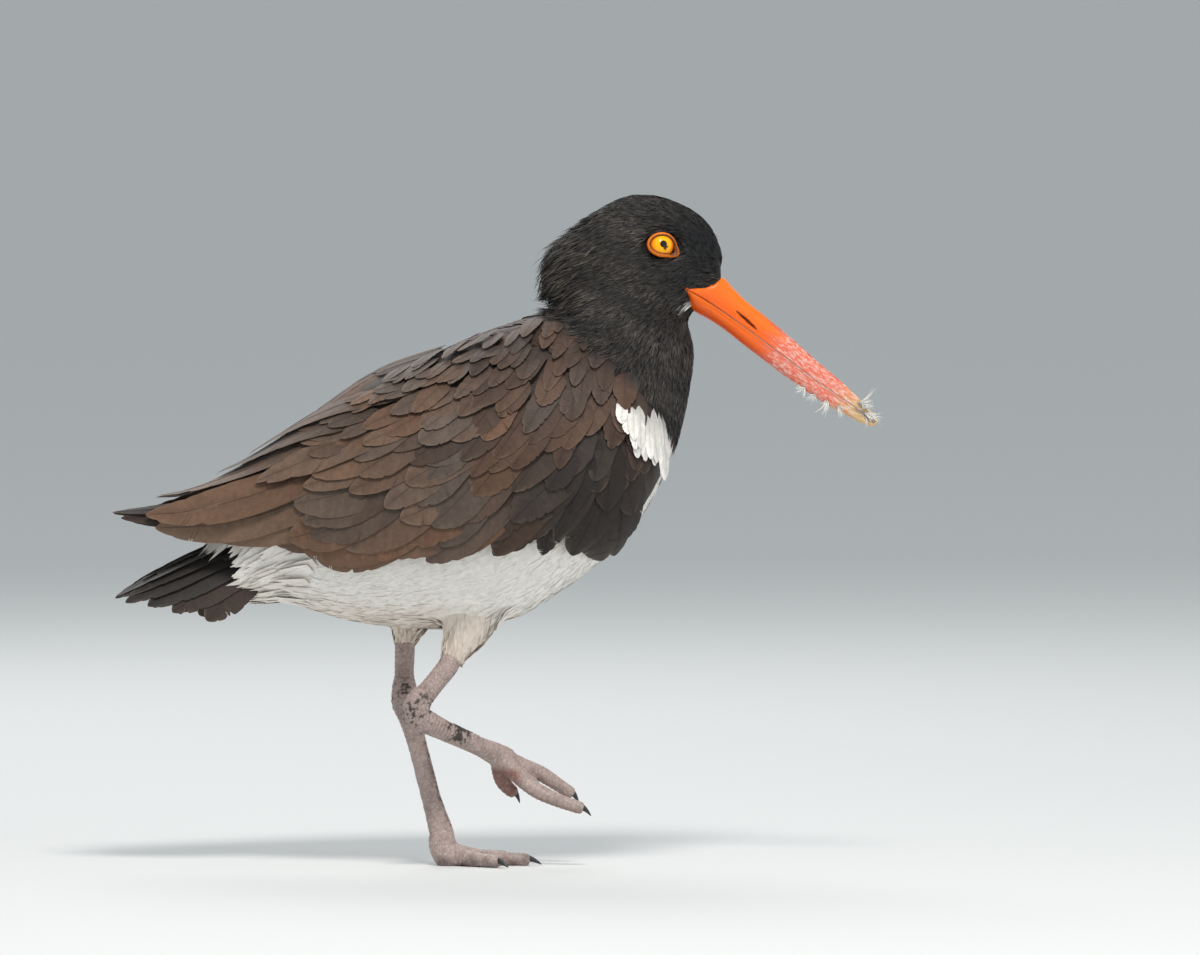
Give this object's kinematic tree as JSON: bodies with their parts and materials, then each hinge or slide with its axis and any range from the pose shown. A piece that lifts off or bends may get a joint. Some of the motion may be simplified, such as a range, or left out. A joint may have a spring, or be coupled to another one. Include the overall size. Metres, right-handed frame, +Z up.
{
  "type": "oystercatcher model",
  "caption": "Life-size still model of an oystercatcher standing on its left leg with the right foot raised, wings folded, and its long bill pointed down ahead.",
  "frame": {"origin": "the middle of the sole of the standing left foot, on the floor", "axes": "+X forward along the bill, +Y the bird's left, +Z up"},
  "size_m": [0.314, 0.1118, 0.2757],
  "materials": {
    "black_feathers": "soft black plumage of head and neck, with a faint brown-grey sheen",
    "brown_feathers": "dark to warm brown flight feathers and coverts, paler on their worn edges",
    "white_feathers": "soft white plumage of breast, belly and vent, warmer in the shade",
    "tail_feathers": "blackish brown tail feathers with cream fringes and white bases",
    "bill": "smooth horn, orange at the base, pinker ahead, yellow at the tip",
    "eye_ring": "bare orange skin round the eye",
    "iris": "wet yellow eye with a small black pupil",
    "leg_skin": "scaly pinkish grey skin, with dark mud on it",
    "claw": "blue-black horn"
  },
  "bodies": {
    "root": {"torso": "white_feathers", "neck": "black_feathers", "head": "black_feathers", "bill_upper": "bill", "bill_lower": "bill", "eye_left": "iris", "lids_left": "eye_ring", "wing_left": "brown_feathers", "thigh_left": "white_feathers", "tibia_left": "leg_skin", "tarsus_left": "leg_skin", "foot_left": "leg_skin", "claw_left_inner": "claw", "claw_left_middle": "claw", "claw_left_outer": "claw", "eye_right": "iris", "lids_right": "eye_ring", "wing_right": "brown_feathers", "thigh_right": "white_feathers", "tibia_right": "leg_skin", "tarsus_right": "leg_skin", "foot_right": "leg_skin", "claw_right_inner": "claw", "claw_right_middle": "claw", "claw_right_outer": "claw", "tail": "tail_feathers"}
  },
  "joints": []
}
